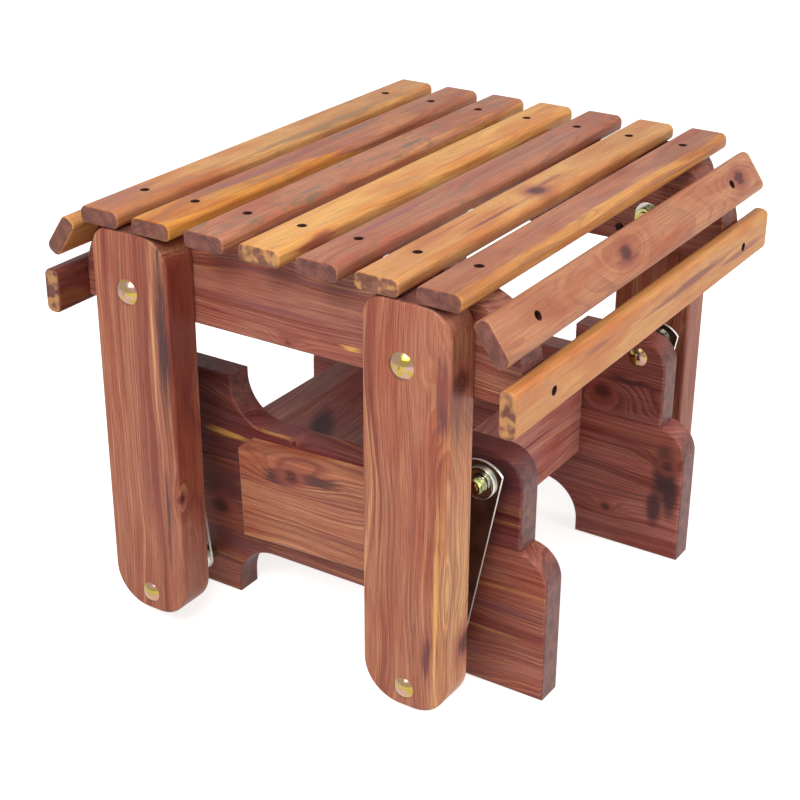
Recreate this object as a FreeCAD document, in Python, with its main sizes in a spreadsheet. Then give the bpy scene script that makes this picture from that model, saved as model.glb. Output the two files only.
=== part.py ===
import FreeCAD, Part
import math
import os
from types import SimpleNamespace

import Sketcher

# Glider ottoman: a slatted seat that hangs on four steel arms inside a wooden base.
# Millimetres, +Z up, origin on the floor under the middle. X runs along the slats,
# Y is the glide direction and the front is -Y. Left is -X and right is +X.

os.makedirs("parts", exist_ok=True)
doc = FreeCAD.newDocument("GliderOttoman")
V = FreeCAD.Vector

# Driving dimensions

DRIVING = {
    # seat slats
    "slat_length": 549.0,
    "slat_width": 44.5,
    "slat_depth": 17.0,
    "slat_reach": 9.0,
    "slat_crown": 7.0,
    "slat_underside": 6.0,
    "slat_ease": 2.5,
    "slat_overhang": 1.5,
    "seat_height": 444.0,
    "slope_angle": 55.0,
    "slope_lift": 5.5,
    "upright_drop": 79.0,
    # screws through the slats into the rails
    "screw_inset": 13.5,
    "screw_sink": 6.0,
    "screw_sink_radius": 4.3,
    "screw_head_radius": 4.0,
    "screw_head_depth": 2.4,
    "screw_shank_radius": 2.1,
    "slat_screw_length": 38.0,
    # side rails
    "rail_depth": 38.0,
    "rail_height": 94.5,
    "rail_overhang": 46.0,
    "rail_nose": 68.0,
    # legs, with the radii of their corners toward the front and toward the back
    "leg_width": 89.0,
    "leg_depth": 40.0,
    "leg_setback": 1.0,
    "leg_bottom": 22.0,
    "leg_top_front": 29.0,
    "leg_top_back": 21.0,
    "leg_foot_front": 34.0,
    "leg_foot_back": 40.0,
    "board_ease": 3.0,
    # bolts that hold the legs to the rails, and the screws beside them
    "leg_bolt_drop": 60.0,
    "leg_bolt_offset": 4.5,
    "leg_bolt_radius": 6.3,
    "leg_bolt_head": 12.6,
    "leg_bolt_dome": 5.5,
    "leg_bolt_tail": 2.5,
    "leg_nut_flats": 19.0,
    "leg_nut_depth": 10.5,
    "leg_washer_radius": 14.0,
    "rail_screw_offset": 27.0,
    "rail_screw_drop": 79.0,
    "rail_screw_length": 63.0,
    # base boards
    "base_depth": 31.5,
    "lower_half": 242.5,
    "lower_height": 155.0,
    "lower_radius": 33.0,
    "foot_length": 124.0,
    "arch_height": 58.5,
    "arch_radius": 45.0,
    "upper_half": 213.0,
    "upper_height": 95.5,
    "upper_radius": 30.0,
    "front_ear": 107.0,
    "back_ear": 92.0,
    "notch_depth_left": 51.0,
    "notch_depth_right": 34.5,
    "notch_radius_left": 45.0,
    "notch_radius_right": 14.0,
    # cleats on the outer faces
    "cleat_half": 89.5,
    "cleat_height": 98.0,
    "cleat_depth": 30.0,
    "cleat_drop": 9.5,
    "cleat_tilt": 2.1,
    # cross stretchers
    "stretcher_below_joint": 53.0,
    "stretcher_above_joint": 41.0,
    "stretcher_face": 119.5,
    # swing arms
    "arm_clearance": 20.0,
    "leg_clearance": 42.5,
    "pivot_inset": 32.0,
    "pivot_drop": 20.5,
    "pivot_rise": 20.0,
    "arm_spread": 29.5,
    "plate_depth": 3.0,
    "plate_crown": 28.7,
    "plate_shoulder": 20.3,
    "plate_shoulder_rise": 13.3,
    "plate_rim": 1.0,
    "upper_bearing": 14.0,
    "lower_bearing": 10.0,
    "cup_wall": 2.0,
    "cup_height": 3.6,
    "cup_round": 1.0,
    "bearing_depth": 11.0,
    "seal_recess": 0.8,
    "journal_radius": 6.5,
    "journal_play": 0.05,
    "open_pivot_play": 1.3,
    # pivot bolts
    "pivot_bolt_radius": 4.7,
    "pivot_bolt_head": 10.5,
    "pivot_bolt_dome": 4.5,
    "pivot_nut_flats": 14.3,
    "pivot_nut_depth": 8.0,
    "pivot_washer_radius": 9.5,
    "spacer_radius": 8.5,
    "washer_depth": 1.5,
    "hole_play": 0.1,
    "side_play": 0.5,
    "bolt_tail": 1.5,
    # screws into the cleats, and the dowels in the stretchers
    "cleat_screw_place": 60.0,
    "cleat_screw_length": 50.0,
    "fixing_below_joint": 33.0,
    "fixing_above_joint": 23.0,
    "dowel_radius": 5.0,
    "dowel_length": 50.0,
}
TOP_SLATS = 7
# How far a nut's turned-off corners reach, as a share of its width over flats
NUT_CORNER = 0.52
# A screw's socket, as a share of its shank
SOCKET_SHARE = 0.6
LEFT, RIGHT = -1, 1
FRONT, BACK = -1, 1
SIDES = {"left": LEFT, "right": RIGHT}
ENDS = {"front": FRONT, "back": BACK}


class Size:
    """A number, together with the sheet expression that gives it."""

    def __init__(self, value, text):
        self.value = float(value)
        self.text = text

    def __add__(self, other):
        other = size(other)
        return Size(self.value + other.value, f"({self.text} + {other.text})")

    def __sub__(self, other):
        other = size(other)
        return Size(self.value - other.value, f"({self.text} - {other.text})")

    def __mul__(self, other):
        other = size(other)
        return Size(self.value * other.value, f"({self.text} * {other.text})")

    def __truediv__(self, other):
        other = size(other)
        return Size(self.value / other.value, f"({self.text} / {other.text})")

    def __neg__(self):
        return self * -1


def size(value):
    return value if isinstance(value, Size) else Size(value, f"({float(value)})")


def root(square):
    return Size(math.sqrt(square.value), f"sqrt({square.text})")


def sine(angle):
    return Size(math.sin(math.radians(angle.value)), f"sin({angle.text} * 1deg)")


def cosine(angle):
    return Size(math.cos(math.radians(angle.value)), f"cos({angle.text} * 1deg)")


def fill_sheet():
    """Write the driving dimensions to the sheet and return them by name."""
    sheet = doc.addObject("Spreadsheet::Sheet", "dims")
    for row, (name, value) in enumerate(DRIVING.items(), 1):
        sheet.set(f"A{row}", name)
        sheet.set(f"B{row}", str(value))
        sheet.setAlias(f"B{row}", name)
    doc.recompute()
    return SimpleNamespace(**{name: Size(value, f"dims.{name}") for name, value in DRIVING.items()})


d = fill_sheet()
nodes = {}

# Sizes worked out from the driving dimensions

rail_top = d.seat_height - d.slat_depth
rail_bottom = rail_top - d.rail_height
leg_outer = d.slat_length / 2 - d.slat_overhang
rail_outer = leg_outer - d.leg_depth
rail_inner = rail_outer - d.rail_depth
plate_place = rail_outer - d.leg_clearance
base_outer = plate_place - d.arm_clearance
base_inner = base_outer - d.base_depth
screw_place = rail_inner + d.screw_inset
screw_seat = d.screw_sink + d.screw_head_depth
pilot_radius = d.screw_shank_radius + d.hole_play
upper_top = d.lower_height + d.upper_height
arch_half = d.lower_half - d.foot_length
pivot_place = d.upper_half - d.pivot_inset
leg_place = pivot_place - d.arm_spread
rail_half = leg_place + d.leg_width / 2 + d.rail_overhang
nose_y = rail_half - d.rail_nose
nose_z = rail_top - d.rail_nose
slat_pitch = (nose_y + d.slat_reach) / ((TOP_SLATS - 1) / 2)
upper_pivot_height = upper_top - d.pivot_drop
lower_pivot_height = d.leg_bottom + d.pivot_rise
leg_bolt_height = rail_top - d.leg_bolt_drop
rail_screw_place = leg_place - d.rail_screw_offset
rail_screw_height = rail_top - d.rail_screw_drop
fixing_heights = {
    "low": d.lower_height - d.fixing_below_joint,
    "high": d.lower_height + d.fixing_above_joint,
}
dowel_place = d.stretcher_face - d.base_depth / 2
half_bearing = d.bearing_depth / 2
arm_drop = upper_pivot_height - lower_pivot_height
arm_length = root(arm_drop * arm_drop + d.arm_spread * d.arm_spread)
plate_foot = d.lower_bearing + d.cup_wall + d.plate_rim
arm_lean = Size(
    math.degrees(math.atan2(d.arm_spread.value, arm_drop.value)),
    f"atan({d.arm_spread.text} / {arm_drop.text})",
)
bolt_hole = d.pivot_bolt_radius + d.hole_play


# Shared construction


def place(piece, x=0, y=0, z=0, axis=None, angle=None, holder="Placement"):
    """Put a piece at x, y, z, turned by a positive angle about an axis."""
    spot = {"x": size(x), "y": size(y), "z": size(z)}
    turn = FreeCAD.Rotation(axis, angle.value) if angle else FreeCAD.Rotation()
    setattr(piece, holder, FreeCAD.Placement(V(*(along.value for along in spot.values())), turn))
    for name, along in spot.items():
        piece.setExpression(f"{holder}.Base.{name}", along.text)
    if angle:
        piece.setExpression(f"{holder}.Rotation.Angle", angle.text)


def keep_as_node(label, piece):
    piece.Label = label
    nodes[label] = piece
    return piece


def origin_feature(body, role):
    return next(item for item in body.Origin.OriginFeatures if item.Role == role)


def new_sketch(body, role, name, **offset):
    """A sketch on one of the body's own planes, or moved from it by an offset."""
    sketch = body.newObject("Sketcher::SketchObject", name)
    sketch.AttachmentSupport = [(origin_feature(body, role), "")]
    sketch.MapMode = "FlatFace"
    if offset:
        place(sketch, holder="AttachmentOffset", **offset)
    return sketch


def fix(sketch, kind, geometry, point, distance):
    """Hold one point at a distance from the sketch's origin along X or Y."""
    constraint = Sketcher.Constraint(kind, -1, 1, geometry, point, distance.value)
    index = sketch.addConstraint(constraint)
    sketch.setExpression(f"Constraints[{index}]", distance.text)


def fix_radius(sketch, geometry, radius):
    index = sketch.addConstraint(Sketcher.Constraint("Radius", geometry, radius.value))
    sketch.setExpression(f"Constraints[{index}]", radius.text)


def corner_arc(sketch, before, after, arrive, leave, corner, radius):
    """Join two edges with an arc tangent to both."""
    r = radius.value
    centre = corner - arrive * r + leave * r
    left_turn = arrive.cross(leave).z > 0
    first, last = (-leave, arrive) if left_turn else (arrive, -leave)
    start = math.atan2(first.y, first.x)
    end = math.atan2(last.y, last.x)
    if end < start:
        end += 2 * math.pi
    arc = sketch.addGeometry(Part.ArcOfCircle(Part.Circle(centre, V(0, 0, 1), r), start, end), False)
    near, far = (1, 2) if left_turn else (2, 1)
    sketch.addConstraint(Sketcher.Constraint("Tangent", before, 2, arc, near))
    sketch.addConstraint(Sketcher.Constraint("Tangent", arc, far, after, 1))
    fix_radius(sketch, arc, radius)


def draw_outline(sketch, corners):
    """Draw a closed outline of level and upright edges.

    Each corner is (x, y) where it is sharp and (x, y, radius) where it is round.
    """
    corners = [(size(c[0]), size(c[1]), c[2] if len(c) > 2 else None) for c in corners]
    points = [V(x.value, y.value, 0) for x, y, _ in corners]
    count = len(corners)
    steps = [(points[(i + 1) % count] - points[i]).normalize() for i in range(count)]
    radii = [radius.value if radius else 0.0 for _, _, radius in corners]
    edges = []
    for i, (x, y, _) in enumerate(corners):
        following = (i + 1) % count
        start = points[i] + steps[i] * radii[i]
        end = points[following] - steps[i] * radii[following]
        edge = sketch.addGeometry(Part.LineSegment(start, end), False)
        level = abs(steps[i].y) < 0.5
        sketch.addConstraint(Sketcher.Constraint("Horizontal" if level else "Vertical", edge))
        fix(sketch, "DistanceY" if level else "DistanceX", edge, 1, y if level else x)
        edges.append(edge)
    for i, (_, _, radius) in enumerate(corners):
        before, after = edges[i - 1], edges[i]
        if radius is None:
            sketch.addConstraint(Sketcher.Constraint("Coincident", before, 2, after, 1))
        else:
            corner_arc(sketch, before, after, steps[i - 1], steps[i], points[i], radius)


def draw_circle(sketch, x, y, radius):
    x, y = size(x), size(y)
    circle = Part.Circle(V(x.value, y.value, 0), V(0, 0, 1), radius.value)
    index = sketch.addGeometry(circle, False)
    fix(sketch, "DistanceX", index, 3, x)
    fix(sketch, "DistanceY", index, 3, y)
    fix_radius(sketch, index, radius)


def pad(body, sketch, length, toward=0):
    """Thicken a sketch: both ways when toward is 0, else to its + or - side."""
    feature = body.newObject("PartDesign::Pad", "Pad")
    feature.Profile = sketch
    feature.SideType = "One side" if toward else "Symmetric"
    feature.Reversed = toward < 0
    feature.setExpression("Length", length.text)
    doc.recompute()
    return feature


def drill(body, role, centres, radius, depth=None, toward=-1, **offset):
    """Cut round holes: right through, or to a depth on the + or - side of the sketch."""
    before = body.Shape.Volume
    sketch = new_sketch(body, role, "HoleCentres", **offset)
    for x, y in centres:
        draw_circle(sketch, x, y, radius)
    feature = body.newObject("PartDesign::Pocket", "Holes")
    feature.Profile = sketch
    if depth:
        feature.Type = "Length"
        feature.Reversed = toward > 0
        feature.setExpression("Length", depth.text)
    else:
        feature.Type = "ThroughAll"
        feature.SideType = "Symmetric"
    doc.recompute()
    if body.Shape.Volume > before - 1.0:
        raise RuntimeError(f"{body.Label}: a hole cuts nothing")


def round_edges(body, radius, chosen):
    """Round the edges of the finished shape so far that chosen() picks."""
    tip = body.Tip
    names = [f"Edge{n}" for n, edge in enumerate(tip.Shape.Edges, 1) if chosen(edge.BoundBox)]
    feature = body.newObject("PartDesign::Fillet", "Round")
    feature.Base = (tip, names)
    feature.setExpression("Radius", radius.text)
    doc.recompute()


def board(label, corners, depth, toward, ease=d.board_ease):
    """A flat board: an outline in Y and Z, thickened along X, its edges eased."""
    body = doc.addObject("PartDesign::Body", label)
    sketch = new_sketch(body, "YZ_Plane", "Outline")
    draw_outline(sketch, corners)
    pad(body, sketch, depth, toward)
    round_edges(body, ease, lambda box: box.XLength < 0.01)
    return keep_as_node(label, body)


def four_corners(label, piece):
    """Repeat a front left piece at the other three corners, as one node."""
    across = doc.addObject("Part::Mirroring", label + "_across")
    across.Source = piece
    across.Normal = V(1, 0, 0)
    pair = doc.addObject("Part::Compound", label + "_pair")
    pair.Links = [piece, across]
    along = doc.addObject("Part::Mirroring", label + "_along")
    along.Source = pair
    along.Normal = V(0, 1, 0)
    both = doc.addObject("Part::Compound", label)
    both.Links = [pair, along]
    return keep_as_node(label, both)


def left_and_right(label, pieces):
    """Repeat pieces of the left side on the right side, as one node."""
    one_side = doc.addObject("Part::Compound", label + "_side")
    one_side.Links = pieces
    across = doc.addObject("Part::Mirroring", label + "_across")
    across.Source = one_side
    across.Normal = V(1, 0, 0)
    both = doc.addObject("Part::Compound", label)
    both.Links = [one_side, across]
    return keep_as_node(label, both)


def together(label, pieces):
    """Pieces that lie in their places already, as one node."""
    group = doc.addObject("Part::Compound", label)
    group.Links = pieces
    return keep_as_node(label, group)


def rod(name, radius, length, start=0):
    """A plain cylinder along its own Z, from a starting height."""
    piece = doc.addObject("Part::Cylinder", name)
    piece.setExpression("Radius", radius.text)
    piece.setExpression("Height", length.text)
    place(piece, z=start)
    return piece


def fuse(name, pieces):
    piece = doc.addObject("Part::MultiFuse", name)
    piece.Shapes = pieces
    return piece


def cut(name, base, tool):
    piece = doc.addObject("Part::Cut", name)
    piece.Base = base
    piece.Tool = tool
    return piece


# Turns that lay a fastener's own +Z along the row's X
TOWARD_PLUS_X = V(0, 1, 0)
TOWARD_MINUS_X = V(0, -1, 0)
QUARTER = Size(90, "90")


def carriage_bolt(name, head, dome, shank, length):
    """A domed head above z = 0 and a shank below it."""
    cap_radius = (head * head + dome * dome) / (dome * 2)
    cap = doc.addObject("Part::Sphere", name + "_dome")
    latitude = (cap_radius - dome) / cap_radius
    cap.setExpression("Radius", cap_radius.text)
    cap.setExpression("Angle1", f"asin({latitude.text})")
    place(cap, z=dome - cap_radius)
    return fuse(name, [cap, rod(name + "_shank", shank, length, -length)])


def washer(name, outer, hole, depth, start=0):
    return cut(name, rod(name + "_disc", outer, depth, start), rod(name + "_bore", hole, depth * 3, -depth))


def nut(name, flats, hole, depth):
    """A hexagon nut above z = 0, its corners turned off."""
    prism = doc.addObject("Part::Prism", name + "_hexagon")
    prism.Polygon = 6
    prism.setExpression("Circumradius", (flats / math.sqrt(3)).text)
    prism.setExpression("Height", depth.text)
    place(prism)
    turned = doc.addObject("Part::Sphere", name + "_turning")
    reach = flats * NUT_CORNER
    turned.setExpression("Radius", root(reach * reach + depth * depth / 4).text)
    place(turned, z=depth / 2)
    blank = doc.addObject("Part::Common", name + "_blank")
    blank.Base = prism
    blank.Tool = turned
    return cut(name, blank, rod(name + "_bore", hole, depth * 3, -depth))


def wood_screw(name, length):
    """A flat-headed screw with its head's top at z = 0, pointing down."""
    head = rod(name + "_head", d.screw_head_radius, d.screw_head_depth, -d.screw_head_depth)
    shank = rod(name + "_shank", d.screw_shank_radius, length, -length)
    socket_radius = d.screw_shank_radius * SOCKET_SHARE
    socket = rod(name + "_socket", socket_radius, d.screw_head_depth, d.screw_head_depth * -0.5)
    return cut(name, fuse(name + "_body", [head, shank]), socket)


# Seat slats


def slat(label, seat):
    """A slat whose own origin is the middle of its top face, put where its seat says."""
    body = doc.addObject("PartDesign::Body", label)
    half_length, half_width = d.slat_length / 2, d.slat_width / 2
    sketch = new_sketch(body, "XY_Plane", "Outline")
    draw_outline(
        sketch,
        [
            (-half_length, -half_width),
            (half_length, -half_width),
            (half_length, half_width),
            (-half_length, half_width),
        ],
    )
    pad(body, sketch, d.slat_depth, toward=-1)
    long_edge, underside = half_length.value, -d.slat_depth.value
    round_edges(body, d.slat_crown, lambda box: box.XLength > long_edge and box.ZMax > -0.01)
    round_edges(body, d.slat_underside, lambda box: box.XLength > long_edge and box.ZMax < underside + 0.01)
    round_edges(body, d.slat_ease, lambda box: box.XLength < 0.01)
    centres = [(-screw_place, 0), (screw_place, 0)]
    drill(body, "XY_Plane", centres, d.screw_sink_radius, screw_seat)
    drill(body, "XY_Plane", centres, pilot_radius)
    place(body, **seat)
    return keep_as_node(label, body)


def slat_screw(label, seat):
    """The left screw of a slat, its head's top a sink below the slat's top face."""
    screw = wood_screw(label, d.slat_screw_length)
    lean = seat.get("angle") or size(0)
    outward = seat.get("axis", V(1, 0, 0)).x * -1
    y = seat["y"] - sine(lean) * d.screw_sink * outward
    z = seat["z"] - cosine(lean) * d.screw_sink
    place(screw, **{**seat, "x": -screw_place, "y": y, "z": z})
    return screw


def slat_seats():
    """Where each slat's top face has its middle, and how the slat is turned."""
    seats = {}
    for number in range(1, TOP_SLATS + 1):
        row = (TOP_SLATS + 1) // 2 - number
        seats[f"slat_{number}"] = {"y": slat_pitch * row, "z": d.seat_height}
    reach = d.rail_nose + d.slat_depth
    lean_sine, lean_cosine = sine(d.slope_angle), cosine(d.slope_angle)
    slope_y = nose_y + reach * lean_sine - d.slope_lift * lean_cosine
    slope_z = nose_z + reach * lean_cosine + d.slope_lift * lean_sine
    face_y = rail_half + d.slat_depth
    face_z = rail_top - d.upright_drop
    for name, end in ENDS.items():
        axis = V(-end, 0, 0)
        seats[f"slat_{name}_slope"] = {"y": slope_y * end, "z": slope_z, "axis": axis, "angle": d.slope_angle}
        seats[f"slat_{name}_face"] = {"y": face_y * end, "z": face_z, "axis": axis, "angle": QUARTER}
    return seats


def make_slats(seats):
    screws = []
    for label, seat in seats.items():
        slat(label, seat)
        screws.append(slat_screw("screw_of_" + label, seat))
    left_and_right("slat_screws", screws)


# Rails and legs


def make_rails(seats):
    half = rail_half
    slat_pilot = d.screw_sink + d.slat_screw_length + d.hole_play
    for name, side in SIDES.items():
        rail = board(
            f"rail_{name}",
            [
                (-half, rail_bottom),
                (half, rail_bottom),
                (half, rail_top, d.rail_nose),
                (-half, rail_top, d.rail_nose),
            ],
            d.rail_depth,
            side,
        )
        bolts = [(leg_place * end - d.leg_bolt_offset * side, leg_bolt_height) for end in ENDS.values()]
        drill(rail, "YZ_Plane", bolts, d.leg_bolt_radius + d.hole_play)
        screws = [(rail_screw_place * end, rail_screw_height) for end in ENDS.values()]
        drill(rail, "YZ_Plane", screws, pilot_radius)
        for seat in seats.values():
            drill(rail, "XY_Plane", [(d.screw_inset * side, 0)], pilot_radius, slat_pilot, **seat)
        place(rail, x=rail_inner * side)


def make_legs():
    half = d.leg_width / 2
    leg_top = rail_top - d.leg_setback
    rail_screw_pilot = d.rail_screw_length - d.screw_head_depth - d.rail_depth + d.hole_play
    for side_name, side in SIDES.items():
        for end_name, end in ENDS.items():
            leg = board(
                f"leg_{end_name}_{side_name}",
                [
                    (-half, d.leg_bottom, d.leg_foot_front),
                    (half, d.leg_bottom, d.leg_foot_back),
                    (half, leg_top, d.leg_top_back),
                    (-half, leg_top, d.leg_top_front),
                ],
                d.leg_depth,
                side,
            )
            beside = [(d.leg_bolt_offset * -side, leg_bolt_height)]
            drill(leg, "YZ_Plane", beside, d.leg_bolt_radius + d.hole_play)
            drill(leg, "YZ_Plane", [(0, lower_pivot_height)], bolt_hole)
            beside = [(d.rail_screw_offset * -end, rail_screw_height)]
            drill(leg, "YZ_Plane", beside, pilot_radius, rail_screw_pilot, side)
            place(leg, x=rail_outer * side, y=leg_place * end)


def make_leg_fasteners():
    """The bolts stand off the middle of their legs, all to the same hand seen from outside."""
    nut_seat = rail_inner - d.washer_depth
    bolt_end = nut_seat - d.leg_nut_depth - d.leg_bolt_tail
    length = leg_outer - bolt_end
    head, dome, hole = d.leg_bolt_head, d.leg_bolt_dome, d.leg_bolt_radius + d.hole_play
    stacks = {"leg_bolts": [], "leg_washers": [], "leg_nuts": []}
    for side_name, side in SIDES.items():
        outward, inward = (TOWARD_MINUS_X, TOWARD_PLUS_X) if side == LEFT else (TOWARD_PLUS_X, TOWARD_MINUS_X)
        for end_name, end in ENDS.items():
            corner = f"{end_name}_{side_name}"
            bolt = carriage_bolt("bolt_" + corner, head, dome, d.leg_bolt_radius, length)
            ring = washer("washer_" + corner, d.leg_washer_radius, hole, d.washer_depth)
            hexagon = nut("nut_" + corner, d.leg_nut_flats, hole, d.leg_nut_depth)
            y = leg_place * end - d.leg_bolt_offset * side
            place(bolt, leg_outer * side, y, leg_bolt_height, outward, QUARTER)
            place(ring, rail_inner * side, y, leg_bolt_height, inward, QUARTER)
            place(hexagon, nut_seat * side, y, leg_bolt_height, inward, QUARTER)
            for pieces, piece in zip(stacks.values(), (bolt, ring, hexagon)):
                pieces.append(piece)
    for label, pieces in stacks.items():
        together(label, pieces)
    screw = wood_screw("rail_screw", d.rail_screw_length)
    proud = rail_inner - d.screw_head_depth
    place(screw, -proud, -rail_screw_place, rail_screw_height, TOWARD_PLUS_X, QUARTER)
    four_corners("rail_screws", screw)


# Base


def drill_fixings(piece, side, height):
    """Countersunk holes for the cleat screws and blind holes for the dowels."""
    screws = [(d.cleat_screw_place * end, height) for end in ENDS.values()]
    drill(piece, "YZ_Plane", screws, d.screw_head_radius + d.hole_play, d.screw_head_depth, side)
    drill(piece, "YZ_Plane", screws, pilot_radius)
    dowels = [(dowel_place * end, height) for end in ENDS.values()]
    drill(piece, "YZ_Plane", dowels, d.dowel_radius + d.hole_play, d.dowel_length / 2 + d.hole_play, side)


def make_lower_boards():
    half, foot = d.lower_half, size(0)
    for name, side in SIDES.items():
        lower = board(
            f"base_lower_{name}",
            [
                (-half, foot),
                (-arch_half, foot),
                (-arch_half, d.arch_height, d.arch_radius),
                (arch_half, d.arch_height, d.arch_radius),
                (arch_half, foot),
                (half, foot),
                (half, d.lower_height, d.lower_radius),
                (-half, d.lower_height, d.lower_radius),
            ],
            d.base_depth,
            side,
        )
        drill_fixings(lower, side, fixing_heights["low"])
        place(lower, x=base_inner * side)


def make_upper_boards():
    half = d.upper_half
    notch_front, notch_back = half - d.front_ear, half - d.back_ear
    notches = {
        "left": (upper_top - d.notch_depth_left, d.notch_radius_left),
        "right": (upper_top - d.notch_depth_right, d.notch_radius_right),
    }
    for name, side in SIDES.items():
        floor, radius = notches[name]
        upper = board(
            f"base_upper_{name}",
            [
                (-half, d.lower_height),
                (half, d.lower_height),
                (half, upper_top, d.upper_radius),
                (notch_back, upper_top),
                (notch_back, floor, radius),
                (-notch_front, floor, radius),
                (-notch_front, upper_top),
                (-half, upper_top, d.upper_radius),
            ],
            d.base_depth,
            side,
        )
        pivots = [(pivot_place * end, upper_pivot_height) for end in ENDS.values()]
        drill(upper, "YZ_Plane", pivots, bolt_hole)
        drill_fixings(upper, side, fixing_heights["high"])
        place(upper, x=base_inner * side)


def make_cleats():
    """The left cleat sits a little askew, its front end higher; the right one is level."""
    half, rise = d.cleat_half, d.cleat_height / 2
    middle = d.lower_height - d.cleat_drop
    pilot = d.cleat_screw_length - d.base_depth + d.hole_play
    tilts = {"left": d.cleat_tilt, "right": None}
    for name, side in SIDES.items():
        cleat = board(
            f"cleat_{name}",
            [(-half, -rise), (half, -rise), (half, rise), (-half, rise)],
            d.cleat_depth,
            side,
        )
        tilt = tilts[name]
        lean = tilt or size(0)
        centres = []
        for height in fixing_heights.values():
            for end in ENDS.values():
                y, z = d.cleat_screw_place * end, height - middle
                centres.append((y * cosine(lean) - z * sine(lean), y * sine(lean) + z * cosine(lean)))
        drill(cleat, "YZ_Plane", centres, pilot_radius, pilot, side)
        place(cleat, x=base_outer * side, z=middle, axis=V(-1, 0, 0), angle=tilt)


def make_stretchers():
    inner, outer = d.stretcher_face - d.base_depth, d.stretcher_face
    bottom = d.lower_height - d.stretcher_below_joint
    top = d.lower_height + d.stretcher_above_joint
    hole, depth = d.dowel_radius + d.hole_play, d.dowel_length / 2 + d.hole_play
    for name, end in ENDS.items():
        low, high = (-outer, -inner) if end == FRONT else (inner, outer)
        stretcher = board(
            f"stretcher_{name}",
            [(low, bottom), (high, bottom), (high, top), (low, top)],
            base_inner * 2,
            0,
            ease=d.slat_ease,
        )
        dowels = [(dowel_place * end, height) for height in fixing_heights.values()]
        for side in SIDES.values():
            drill(stretcher, "YZ_Plane", dowels, hole, depth, toward=-side, z=base_inner * side)


def make_base_fasteners():
    screws, dowels = [], []
    for name, height in fixing_heights.items():
        for end_name, end in ENDS.items():
            screw = wood_screw(f"cleat_screw_{name}_{end_name}", d.cleat_screw_length)
            place(screw, -base_inner, d.cleat_screw_place * end, height, TOWARD_PLUS_X, QUARTER)
            screws.append(screw)
        dowel = rod(f"dowel_{name}", d.dowel_radius, d.dowel_length)
        start = base_inner + d.dowel_length / 2
        place(dowel, -start, -dowel_place, height, TOWARD_PLUS_X, QUARTER)
        dowels.append(dowel)
    left_and_right("cleat_screws", screws)
    pair = doc.addObject("Part::Compound", "dowel_pair")
    pair.Links = dowels
    four_corners("stretcher_dowels", pair)


# Swing arms and their pivots


def draw_arm_outline(sketch):
    """A crowned top with two corners, tapering to a round foot at the lower pivot."""
    shoulder, rise = d.plate_shoulder, d.plate_shoulder_rise
    foot = plate_foot
    sag = d.plate_crown - root(d.plate_crown * d.plate_crown - shoulder * shoulder)
    crown_centre = rise + sag - d.plate_crown
    up = math.atan2((rise - crown_centre).value, shoulder.value)
    crown = Part.Circle(V(0, crown_centre.value, 0), V(0, 0, 1), d.plate_crown.value)
    bottom = Part.Circle(V(0, -arm_length.value, 0), V(0, 0, 1), foot.value)
    top_arc = sketch.addGeometry(Part.ArcOfCircle(crown, up, math.pi - up), False)
    # A first guess in radians, which the tangent sides then settle
    guess = 0.04
    foot_arc = sketch.addGeometry(Part.ArcOfCircle(bottom, math.pi - guess, 2 * math.pi + guess), False)
    sides = []
    for hand in (1, -1):
        shoulder_point = V(hand * shoulder.value, rise.value, 0)
        foot_point = V(hand * foot.value, -arm_length.value, 0)
        sides.append(sketch.addGeometry(Part.LineSegment(shoulder_point, foot_point), False))
    right, left = sides
    sketch.addConstraint(Sketcher.Constraint("Coincident", top_arc, 1, right, 1))
    sketch.addConstraint(Sketcher.Constraint("Coincident", top_arc, 2, left, 1))
    sketch.addConstraint(Sketcher.Constraint("Tangent", right, 2, foot_arc, 2))
    sketch.addConstraint(Sketcher.Constraint("Tangent", left, 2, foot_arc, 1))
    fix(sketch, "DistanceX", right, 1, shoulder)
    fix(sketch, "DistanceY", right, 1, rise)
    fix(sketch, "DistanceX", left, 1, -shoulder)
    fix(sketch, "DistanceY", left, 1, rise)
    fix(sketch, "DistanceX", foot_arc, 3, size(0))
    fix(sketch, "DistanceY", foot_arc, 3, -arm_length)
    fix_radius(sketch, foot_arc, foot)
    fix_radius(sketch, top_arc, d.plate_crown)


def arm_plate(label, side):
    """The steel plate, with a raised cup round each bearing on its outer face."""
    body = doc.addObject("PartDesign::Body", label)
    sketch = new_sketch(body, "YZ_Plane", "Outline")
    draw_arm_outline(sketch)
    pad(body, sketch, d.plate_depth)
    cups = new_sketch(body, "YZ_Plane", "Cups")
    draw_circle(cups, 0, 0, d.upper_bearing + d.cup_wall)
    draw_circle(cups, 0, -arm_length, d.lower_bearing + d.cup_wall)
    reach = d.plate_depth / 2 + d.cup_height
    pad(body, cups, reach, side)
    round_edges(body, d.cup_round, lambda box: box.XLength < 0.01 and abs(box.XMin) > reach.value - 0.01)
    drill(body, "YZ_Plane", [(0, 0)], d.upper_bearing)
    drill(body, "YZ_Plane", [(0, -arm_length)], d.lower_bearing)
    return body


def bearing(label, outer, bore):
    """A sealed bearing about its own X, its seals a little below its rings."""
    body = doc.addObject("PartDesign::Body", label)
    sketch = new_sketch(body, "XZ_Plane", "Section")
    half, seal = half_bearing, half_bearing - d.seal_recess
    wall = (outer - bore) / 4
    ring_in, ring_out = bore + wall, outer - wall
    draw_outline(
        sketch,
        [
            (-half, bore),
            (half, bore),
            (half, ring_in),
            (seal, ring_in),
            (seal, ring_out),
            (half, ring_out),
            (half, outer),
            (-half, outer),
            (-half, ring_out),
            (-seal, ring_out),
            (-seal, ring_in),
            (-half, ring_in),
        ],
    )
    feature = body.newObject("PartDesign::Revolution", "Turn")
    feature.Profile = sketch
    feature.ReferenceAxis = (origin_feature(body, "X_Axis"), [""])
    feature.Angle = 360
    doc.recompute()
    return body


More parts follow.
